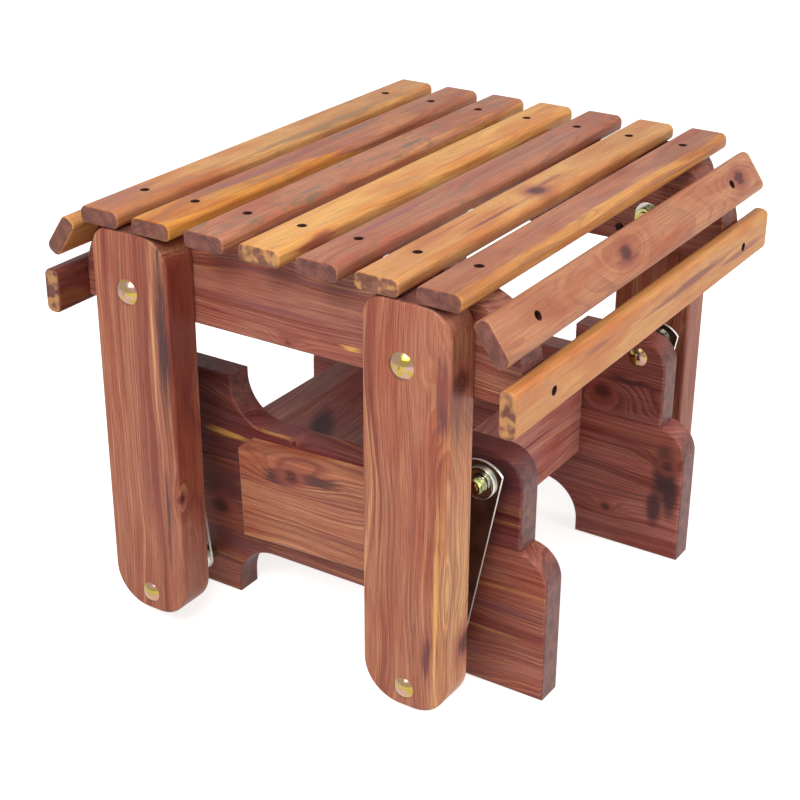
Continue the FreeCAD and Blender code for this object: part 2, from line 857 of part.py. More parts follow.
def make_arms():
    running = d.journal_radius + d.journal_play
    opened = d.journal_radius + d.open_pivot_play
    for side_name, side in SIDES.items():
        for end_name, end in ENDS.items():
            corner = f"{end_name}_{side_name}"
            x = plate_place * side
            plate = arm_plate(f"arm_{corner}", side)
            place(plate, x, pivot_place * end, upper_pivot_height, V(-end, 0, 0), arm_lean)
            keep_as_node(f"arm_{corner}", plate)
            upper = bearing(f"bearing_upper_{corner}", d.upper_bearing, running)
            place(upper, x, pivot_place * end, upper_pivot_height)
            keep_as_node(f"bearing_upper_{corner}", upper)
            lower = bearing(f"bearing_lower_{corner}", d.lower_bearing, running if end == FRONT else opened)
            place(lower, x, leg_place * end, lower_pivot_height)
            keep_as_node(f"bearing_lower_{corner}", lower)


def pivot_spacer(name, length):
    """A spacer above z = 0 with a journal for the bearing on top of it."""
    wide = rod(name + "_wide", d.spacer_radius, length)
    journal_length = d.bearing_depth + d.side_play * 2
    journal = rod(name + "_journal", d.journal_radius, journal_length, length)
    body = fuse(name + "_body", [wide, journal])
    whole = length + journal_length
    return cut(name, body, rod(name + "_bore", bolt_hole, whole * 2, whole * -0.5))


def make_pivots():
    """The bolt, spacer, washer and nut of every pivot, built at the front left."""
    spots = {
        # name: height, Y, face under the head, face under the spacer, direction of the nut end
        "upper": (upper_pivot_height, pivot_place, base_inner, base_outer, RIGHT),
        "lower": (lower_pivot_height, leg_place, leg_outer, rail_outer, LEFT),
    }
    for name, (height, y, head_face, spacer_face, out) in spots.items():
        toward_nut = TOWARD_MINUS_X if out == RIGHT else TOWARD_PLUS_X
        toward_head = TOWARD_PLUS_X if out == RIGHT else TOWARD_MINUS_X
        shoulder = plate_place - (half_bearing + d.side_play) * out
        washer_face = plate_place + (half_bearing + d.side_play) * out
        nut_face = washer_face + d.washer_depth * out
        bolt_end = nut_face + (d.pivot_nut_depth + d.bolt_tail) * out
        stack = {
            "bolts": (
                carriage_bolt(
                    f"{name}_pivot_bolt",
                    d.pivot_bolt_head,
                    d.pivot_bolt_dome,
                    d.pivot_bolt_radius,
                    (bolt_end - head_face) * out,
                ),
                head_face,
                toward_head,
            ),
            "spacers": (
                pivot_spacer(f"{name}_pivot_spacer", (shoulder - spacer_face) * out),
                spacer_face,
                toward_nut,
            ),
            "washers": (
                washer(f"{name}_pivot_washer", d.pivot_washer_radius, bolt_hole, d.washer_depth),
                washer_face,
                toward_nut,
            ),
            "nuts": (
                nut(f"{name}_pivot_nut", d.pivot_nut_flats, bolt_hole, d.pivot_nut_depth),
                nut_face,
                toward_nut,
            ),
        }
        for kind, (piece, face, axis) in stack.items():
            place(piece, -face, -y, height, axis, QUARTER)
            four_corners(f"{name}_pivot_{kind}", piece)


def check_document():
    doc.recompute()
    bad = [o.Label for o in doc.Objects if set(o.State) & {"Invalid", "Error"}]
    if bad:
        raise RuntimeError(f"failed objects: {bad}")
    for label, piece in nodes.items():
        shape = piece.Shape
        if shape.isNull() or not shape.isValid() or not shape.Solids:
            raise RuntimeError(f"{label}: no valid solid")


slats = slat_seats()
make_slats(slats)
make_rails(slats)
make_legs()
make_leg_fasteners()
make_lower_boards()
make_upper_boards()
make_cleats()
make_stretchers()
make_base_fasteners()
make_arms()
make_pivots()
check_document()

for label, piece in nodes.items():
    piece.Shape.exportStep(f"parts/{label}.step")
print(f"{len(nodes)} nodes, {sum(len(piece.Shape.Solids) for piece in nodes.values())} solids")
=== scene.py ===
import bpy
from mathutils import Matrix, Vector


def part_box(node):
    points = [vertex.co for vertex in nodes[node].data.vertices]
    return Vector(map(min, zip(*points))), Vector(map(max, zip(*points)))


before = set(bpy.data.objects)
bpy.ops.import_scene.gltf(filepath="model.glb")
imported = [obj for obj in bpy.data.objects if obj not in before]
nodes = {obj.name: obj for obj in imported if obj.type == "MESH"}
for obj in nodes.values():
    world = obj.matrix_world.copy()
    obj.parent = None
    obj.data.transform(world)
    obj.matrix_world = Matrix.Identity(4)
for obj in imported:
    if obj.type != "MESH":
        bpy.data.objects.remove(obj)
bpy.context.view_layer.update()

import math

import bpy
from mathutils import Matrix, Vector

# Glider ottoman in oiled red cedar, hung on zinc-plated steel arms.
# The scene is in metres, and the grain of every board is drawn in millimetres.

MM = 0.001

NOISE = "ShaderNodeTexNoise"
RANGE = "ShaderNodeMapRange"
SPLIT = "ShaderNodeSeparateXYZ"
JOIN = "ShaderNodeCombineXYZ"
COORDINATES = "ShaderNodeTexCoord"


def linear(hex_colour):
    """An sRGB hex colour as linear RGBA."""
    parts = [int(hex_colour[i : i + 2], 16) / 255 for i in (1, 3, 5)]
    return [p / 12.92 if p <= 0.04045 else ((p + 0.055) / 1.055) ** 2.4 for p in parts] + [1.0]


def output_of(source):
    """The socket itself, or a node's first output that is in use."""
    if isinstance(source, bpy.types.Node):
        return next(output for output in source.outputs if output.enabled)
    return source


def add(tree, kind, *values, **settings):
    """Add a node, set its properties, then fill or link the inputs that it shows, in order."""
    made = tree.nodes.new(kind)
    for name, value in settings.items():
        setattr(made, name, value)
    shown = [socket for socket in made.inputs if socket.enabled]
    for socket, value in zip(shown, values):
        value = linear(value) if isinstance(value, str) else output_of(value)
        if isinstance(value, bpy.types.NodeSocket):
            tree.links.new(value, socket)
        elif value is not None:
            socket.default_value = value
    return made


def feed(tree, node, **sources):
    """Link what has been worked out to a node's inputs by their names."""
    for name, source in sources.items():
        tree.links.new(output_of(source), node.inputs[name.replace("_", " ")])


def scalar(tree, operation, *values):
    """One step of arithmetic on numbers."""
    return add(tree, "ShaderNodeMath", *values, operation=operation)


def vector(tree, operation, *values):
    """One step of arithmetic on vectors."""
    return add(tree, "ShaderNodeVectorMath", *values, operation=operation)


def ramp(tree, value, start, stop, low=0.0, high=1.0):
    """Ease from low to high while the value goes from start to stop."""
    return add(tree, RANGE, value, start, stop, low, high, interpolation_type="SMOOTHSTEP")


def painted(tree, colour, cover, paint):
    """The colour with as much paint over it as cover says."""
    return add(tree, "ShaderNodeMix", cover, colour, paint, data_type="RGBA")


def tinted(tree, colour, cover, tint):
    """The colour multiplied by a tint, as far as cover says."""
    kind = {"data_type": "RGBA", "blend_type": "MULTIPLY"}
    return add(tree, "ShaderNodeMix", cover, colour, tint, **kind)


def new_material(name):
    """A material with its surface shader, ready for its colour."""
    made = bpy.data.materials.new(name)
    made.use_nodes = True
    return made, made.node_tree, made.node_tree.nodes["Principled BSDF"]


def wear(node, material):
    """Dress a piece in one material, in place of what it came with."""
    mesh = nodes[node].data
    mesh.materials.clear()
    mesh.materials.append(material)


# Cedar: sawn through a log whose rings drift slowly along the board. Heartwood is
# pink to purple-brown and sapwood yellow. Flat-sawn faces show pointed arches and
# quarter-sawn ones straight stripes. A few coats of wiping oil deepen it.

KNOTS = 3
MARKS = 3

# In millimetres
RING_DRIFT = 36.0
UNEVEN_GROWTH = 8.0
SAP_FRINGE = 26.0
HOLE_RADIUS = 4.3
GRAIN_RELIEF = 0.25
BOARD_SPACING = Vector((311.0, 97.0, 53.0))

# Per millimetre: swings from fast to slow growth, and a knot's rings
GROWTH_SWINGS = 0.11
KNOT_RINGS = 0.42

# The oil leaves a soft sheen and no film
OILED_ROUGHNESS = 0.42
OILED_IOR = 1.46
OILED_SPECULAR = 0.32

VECTOR_INPUTS = ["Place", "Pith", "Seed", "Sap side"]
VECTOR_INPUTS += [f"Knot {n} {what}" for n in range(1, KNOTS + 1) for what in ("place", "size")]
VECTOR_INPUTS += [f"Mark {n} {what}" for n in range(1, MARKS + 1) for what in ("place", "size")]
FLOAT_INPUTS = ["End", "End light", "Fibre", "Ring", "Contrast", "Bands", "Streaks", "Smudge"]
FLOAT_INPUTS += ["Sap edge", "Sap blur", "Torn", "Hole"]
COLOUR_INPUTS = ["Heart", "Sap", "Line"] + [f"Mark {n} colour" for n in range(1, MARKS + 1)]


def drawn_out(tree, place, along, across, detail=1.0, roughness=0.5):
    """Noise whose features are as long and as wide as this, in millimetres."""
    scaled = vector(tree, "MULTIPLY", place, (1 / along, 1 / across, 1 / across))
    return add(tree, NOISE, scaled, 1.0, detail, roughness)


def rings_round_pith(tree, given, seeded):
    """How far off the pith is, in millimetres, and each knot, as (distance / radius, radius)."""
    drift = drawn_out(tree, seeded, 210, 70).outputs["Color"]
    drift = vector(tree, "SUBTRACT", drift, (0.5, 0.5, 0.5))
    drift = vector(tree, "MULTIPLY", drift, (0, RING_DRIFT, RING_DRIFT))
    level = vector(tree, "MULTIPLY", given["Place"], (0, 1, 1))
    level = vector(tree, "SUBTRACT", level, given["Pith"])
    distance = vector(tree, "LENGTH", vector(tree, "ADD", level, drift))

    # Each knot pushes the rings aside over three times its own radius
    knots = []
    for n in range(1, KNOTS + 1):
        offset = vector(tree, "SUBTRACT", given["Place"], given[f"Knot {n} place"])
        offset = vector(tree, "DIVIDE", offset, given[f"Knot {n} size"])
        radius = add(tree, SPLIT, given[f"Knot {n} size"]).outputs["Y"]
        swept = vector(tree, "LENGTH", vector(tree, "MULTIPLY", offset, (0.45, 1, 1)))
        push = scalar(tree, "MULTIPLY", ramp(tree, swept, 0, 3.4, 2.2, 0), radius)
        distance = scalar(tree, "ADD", distance, push)
        knots.append((vector(tree, "LENGTH", offset), radius))
    years = scalar(tree, "MULTIPLY", distance, GROWTH_SWINGS)
    uneven = add(tree, NOISE, years, 1.0, noise_dimensions="1D")
    return scalar(tree, "MULTIPLY_ADD", uneven, UNEVEN_GROWTH, distance), knots


def latewood_lines(tree, given, seeded, distance):
    """Dark lines that build up over a ring and stop sharply, weaker here and there."""
    phase = scalar(tree, "FRACT", scalar(tree, "DIVIDE", distance, given["Ring"]))
    rise = ramp(tree, phase, 0.3, 0.9)
    stop = ramp(tree, phase, 0.91, 1.0, 1, 0)
    late = scalar(tree, "MULTIPLY", rise, stop)
    strength = ramp(tree, drawn_out(tree, seeded, 260, 14, 1.5), 0.3, 0.66, 0.15, 1.0)
    return scalar(tree, "MULTIPLY", late, strength)


def clear_wood(tree, given, seeded, distance, late, fibre):
    """The colour of the wood between its marks, knots, ends and holes."""
    # Heartwood and sapwood, their border ragged along the grain
    fringe = scalar(tree, "SUBTRACT", drawn_out(tree, seeded, 220, 7, 2.0), 0.5)
    side = vector(tree, "DOT_PRODUCT", given["Place"], given["Sap side"])
    side = scalar(tree, "SUBTRACT", side, given["Sap edge"])
    side = scalar(tree, "MULTIPLY_ADD", fringe, SAP_FRINGE, side)
    side = scalar(tree, "DIVIDE", side, given["Sap blur"])
    colour = painted(tree, given["Heart"], ramp(tree, side, -1, 1), given["Sap"])

    # Wide clouds of pinker wood, then purple bands and yellow streaks that follow the rings
    cloud = ramp(tree, drawn_out(tree, seeded, 120, 26, 2.0), 0.4, 0.68, 0, 0.75)
    colour = tinted(tree, colour, cloud, "#e8bdb2")
    along = add(tree, SPLIT, seeded).outputs["X"]
    with_rings = add(tree, JOIN, along, distance, add(tree, SPLIT, given["Seed"]).outputs["Y"])
    band = ramp(tree, drawn_out(tree, with_rings, 420, 10, 2.0), 0.46, 0.72)
    colour = tinted(tree, colour, scalar(tree, "MULTIPLY", band, given["Bands"]), "#b98182")
    streak = ramp(tree, drawn_out(tree, with_rings, 340, 3.2, 2.0), 0.55, 0.7)
    streak = scalar(tree, "MULTIPLY", streak, given["Streaks"])
    colour = painted(tree, colour, streak, given["Sap"])
    line = scalar(tree, "MULTIPLY", late, given["Contrast"])
    colour = painted(tree, colour, line, given["Line"])

    # Fibres and pores: real ones are far finer, so these are as wide as still shows, about 1 mm
    shade = scalar(tree, "MULTIPLY", ramp(tree, fibre, 0.36, 0.68), given["Fibre"])
    colour = tinted(tree, colour, shade, "#c79f92")
    pores = ramp(tree, drawn_out(tree, seeded, 14, 0.9, 2.0), 0.58, 0.72, 0, 0.5)
    colour = tinted(tree, colour, scalar(tree, "MULTIPLY", pores, given["Fibre"]), "#9c6658")

    # Grey-green smudges that handling and damp leave on the faces
    smudge = ramp(tree, drawn_out(tree, seeded, 30, 9, 4.0, 0.6), 0.5, 0.72)
    return painted(tree, colour, scalar(tree, "MULTIPLY", smudge, given["Smudge"]), "#74604c")


def marks_and_knots(tree, given, seeded, knots, colour):
    """Resin, veins, patches, painted shadow and knots, all torn out along the grain."""
    torn = scalar(tree, "SUBTRACT", drawn_out(tree, seeded, 46, 3.6, 3.0, 0.6), 0.5)
    for n in range(1, MARKS + 1):
        lens = vector(tree, "SUBTRACT", given["Place"], given[f"Mark {n} place"])
        lens = vector(tree, "LENGTH", vector(tree, "DIVIDE", lens, given[f"Mark {n} size"]))
        lens = scalar(tree, "MULTIPLY_ADD", torn, given["Torn"], lens)
        cover = ramp(tree, lens, 0.35, 1.05, 0.9, 0)
        colour = painted(tree, colour, cover, given[f"Mark {n} colour"])

    # A knot has a dark heart with close rings, in a halo of redder wood
    for radii, radius in knots:
        ragged = scalar(tree, "MULTIPLY_ADD", torn, 1.3, radii)
        colour = painted(tree, colour, ramp(tree, ragged, 0.8, 2.8, 0.8, 0), "#8d4a3f")
        ring_count = scalar(tree, "MULTIPLY", radius, KNOT_RINGS)
        ring_count = scalar(tree, "MULTIPLY", radii, ring_count)
        rings = ramp(tree, scalar(tree, "FRACT", ring_count), 0.2, 0.9)
        heart = painted(tree, "#5f2c27", rings, "#2c1012")
        colour = painted(tree, colour, ramp(tree, ragged, 0.5, 1.35, 0.95, 0), heart)
    return colour


def ends_and_holes(tree, given, seeded, late, colour):
    """Sawn ends that have drunk more oil, and screw holes painted dark as shade."""
    # Dark, blotched ends with faint rings, which stay light only in sapwood
    blotch = ramp(tree, drawn_out(tree, seeded, 11, 11, 3.0, 0.6), 0.3, 0.7)
    end_colour = painted(tree, "#7b4d47", blotch, "#4b2b2c")
    end_colour = painted(tree, end_colour, scalar(tree, "MULTIPLY", late, 0.45), "#432424")
    sapwood = scalar(tree, "SUBTRACT", drawn_out(tree, seeded, 16, 8), given["End light"])
    end_colour = painted(tree, end_colour, ramp(tree, sapwood, -0.14, 0.14, 1, 0), "#b38558")
    colour = painted(tree, colour, scalar(tree, "MULTIPLY", given["End"], 0.9), end_colour)

    # Painted shade in two screw holes, on either side of the middle
    steps = add(tree, SPLIT, given["Place"]).outputs
    beside = scalar(tree, "SUBTRACT", scalar(tree, "ABSOLUTE", steps["X"]), given["Hole"])
    hole = vector(tree, "LENGTH", add(tree, JOIN, beside, steps["Y"], 0.0))
    painted_hole_shade = ramp(tree, hole, HOLE_RADIUS, HOLE_RADIUS + 1, 0.93, 0)
    return painted(tree, colour, painted_hole_shade, "#2c100c")


def cedar_grain():
    """The node group that every board's colour, roughness and relief come from."""
    tree = bpy.data.node_groups.new("sawn cedar grain", "ShaderNodeTree")
    kinds = {"Vector": VECTOR_INPUTS, "Float": FLOAT_INPUTS, "Color": COLOUR_INPUTS}
    for kind, names in kinds.items():
        for name in names:
            tree.interface.new_socket(name, in_out="INPUT", socket_type="NodeSocket" + kind)
    for name, kind in {"Colour": "Color", "Roughness": "Float", "Relief": "Float"}.items():
        tree.interface.new_socket(name, in_out="OUTPUT", socket_type="NodeSocket" + kind)
    given = add(tree, "NodeGroupInput").outputs
    seeded = vector(tree, "ADD", given["Place"], given["Seed"])
    fibre = drawn_out(tree, seeded, 60, 1.0, 3.0, 0.65)
    distance, knots = rings_round_pith(tree, given, seeded)
    late = latewood_lines(tree, given, seeded, distance)
    colour = clear_wood(tree, given, seeded, distance, late, fibre)
    colour = marks_and_knots(tree, given, seeded, knots, colour)
    colour = ends_and_holes(tree, given, seeded, late, colour)

    # Latewood is denser, so it shines a little more and stands proud of the worn earlywood
    rough = scalar(tree, "MULTIPLY_ADD", late, -0.06, OILED_ROUGHNESS)
    rough = scalar(tree, "MULTIPLY_ADD", fibre, 0.16, rough)
    relief = scalar(tree, "MULTIPLY", fibre, 0.6)
    relief = scalar(tree, "MULTIPLY_ADD", late, 0.35, relief)
    add(tree, "NodeGroupOutput", colour, rough, relief)
    return tree


grain = cedar_grain()

# Where the knots and marks go that a board hasn't got
FAR_OFF = (0, 900, 0)

# How each board's own axes lie: u along the grain, v across its wide face, w through it
ACROSS_FRAME = Matrix(((0, 0, 1), (1, 0, 0), (0, 1, 0)))
UPRIGHT = Matrix(((0, 0, -1), (0, 1, 0), (1, 0, 0)))
CROSSPIECE = Matrix(((1, 0, 0), (0, 0, -1), (0, 1, 0)))


def rolled(degrees, base=None):
    """Axes turned about X."""
    turn = Matrix.Rotation(math.radians(degrees), 3, "X")
    return turn @ base if base else turn


def cedar_board(node, axes, look):
    """Give a board its own piece of the log."""
    low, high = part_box(node)
    material, tree, shader = new_material("oiled_cedar_" + node)
    object_space = add(tree, COORDINATES).outputs
    turn = tuple(axes.to_euler("XYZ"))
    to_board = ((low + high) / 2, turn, (MM, MM, MM))
    place = add(tree, "ShaderNodeMapping", object_space["Object"], *to_board, vector_type="TEXTURE")
    facing = vector(tree, "DOT_PRODUCT", object_space["Normal"], axes.col[0])
    end = ramp(tree, scalar(tree, "ABSOLUTE", facing), 0.55, 0.92)
    wood = add(tree, "ShaderNodeGroup", node_tree=grain)
    feed(tree, wood, Place=place, End=end)
    values = {
        "Pith": (0, *look["pith"]),
        "Seed": BOARD_SPACING * look["seed"],
        "Heart": linear(look["heart"]),
        "Sap": linear(look["sap"]),
        "Line": linear(look["line"]),
        "Ring": look["ring"],
        "Contrast": look["contrast"],
        "Bands": look["bands"],
        "Streaks": look["streaks"],
        "Smudge": look["smudge"],
        "Sap side": look.get("side", (0, 0, 0)),
        "Sap edge": look.get("edge", 60.0),
        "Sap blur": look.get("blur", 5.0),
        "End light": look.get("end_light", 0.0),
        "Fibre": look["fibre"],
        "Torn": look.get("torn", 1.7),
        "Hole": look.get("hole", 900.0),
    }
    knots = look.get("knots", []) + [(*FAR_OFF, 1, 1)] * KNOTS
    for n, (u, v, w, radius, reach) in enumerate(knots[:KNOTS], 1):
        values[f"Knot {n} place"] = (u, v, w)
        values[f"Knot {n} size"] = (1.25 * radius, radius, reach)
    marks = look.get("marks", []) + [(FAR_OFF, (1, 1, 1), "#000000")] * MARKS
    for n, (where, extent, mark_colour) in enumerate(marks[:MARKS], 1):
        values[f"Mark {n} place"] = where
        values[f"Mark {n} size"] = extent
        values[f"Mark {n} colour"] = linear(mark_colour)
    for name, value in values.items():
        wood.inputs[name].default_value = value
    bump = add(tree, "ShaderNodeBump", 0.35, GRAIN_RELIEF * MM)
    grown = wood.outputs
    feed(tree, bump, Height=grown["Relief"])
    feed(tree, shader, Base_Color=grown["Colour"], Roughness=grown["Roughness"], Normal=bump)
    shader.inputs["IOR"].default_value = OILED_IOR
    shader.inputs["Specular IOR Level"].default_value = OILED_SPECULAR
    wear(node, material)


PURPLE_VEIN = "#4a262b"
PURPLE_CLOUD = "#87544f"
YELLOW_STREAK = "#dca45c"
DAMP_GREY = "#8b6f52"
SCREW_HEAD_RADIUS = 4.0
screw_place = abs(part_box("slat_screws")[0].x) / MM - SCREW_HEAD_RADIUS

# What a look holds, in the board's own millimetres (u, v, w) from its middle:
# heart       the heartwood's colour, with sap and line: the sapwood's and the latewood's
# ring        the width of a year's growth, with contrast: how dark its line is
# bands       how strong the purple bands are, and so on for streaks, smudge and fibre
# pith        (v, w) of the log's middle behind the board, round which its rings curve
# seed        which piece of the log the board is
# side        which way the sapwood lies, with edge and blur: where it starts, how softly
# knots       (u, v, w, radius, depth through the board)
# marks       (middle, half-lengths, colour), torn apart along the grain by torn
# hole        how far its two screw holes lie from the middle
# end_light   how much of the sawn end is pale: none at 0, some at 0.4, half at 0.5

PINK = dict(
    heart="#b47a5c", sap="#d29a58", line="#7c463f", ring=4.0, contrast=0.4, bands=0.55,
    streaks=0.2, smudge=0.35, fibre=0.5, hole=screw_place,
)
YELLOW = dict(
    heart="#b2744d", sap="#d8a162", line="#ab6a42", ring=5.0, contrast=0.35, bands=0.35,
    streaks=0.4, smudge=0.12, fibre=0.45, hole=screw_place, end_light=0.38,
)
LEG = dict(
    heart="#b4785f", sap="#d2a279", line="#71393a", ring=3.6, contrast=0.65, bands=0.75,
    streaks=0.55, smudge=0.1, fibre=0.75,
)
DARK = dict(
    heart="#a46455", sap="#c9925f", line="#5a2b2d", ring=4.0, contrast=0.6, bands=0.85,
    streaks=0.35, smudge=0.15, fibre=0.75,
)

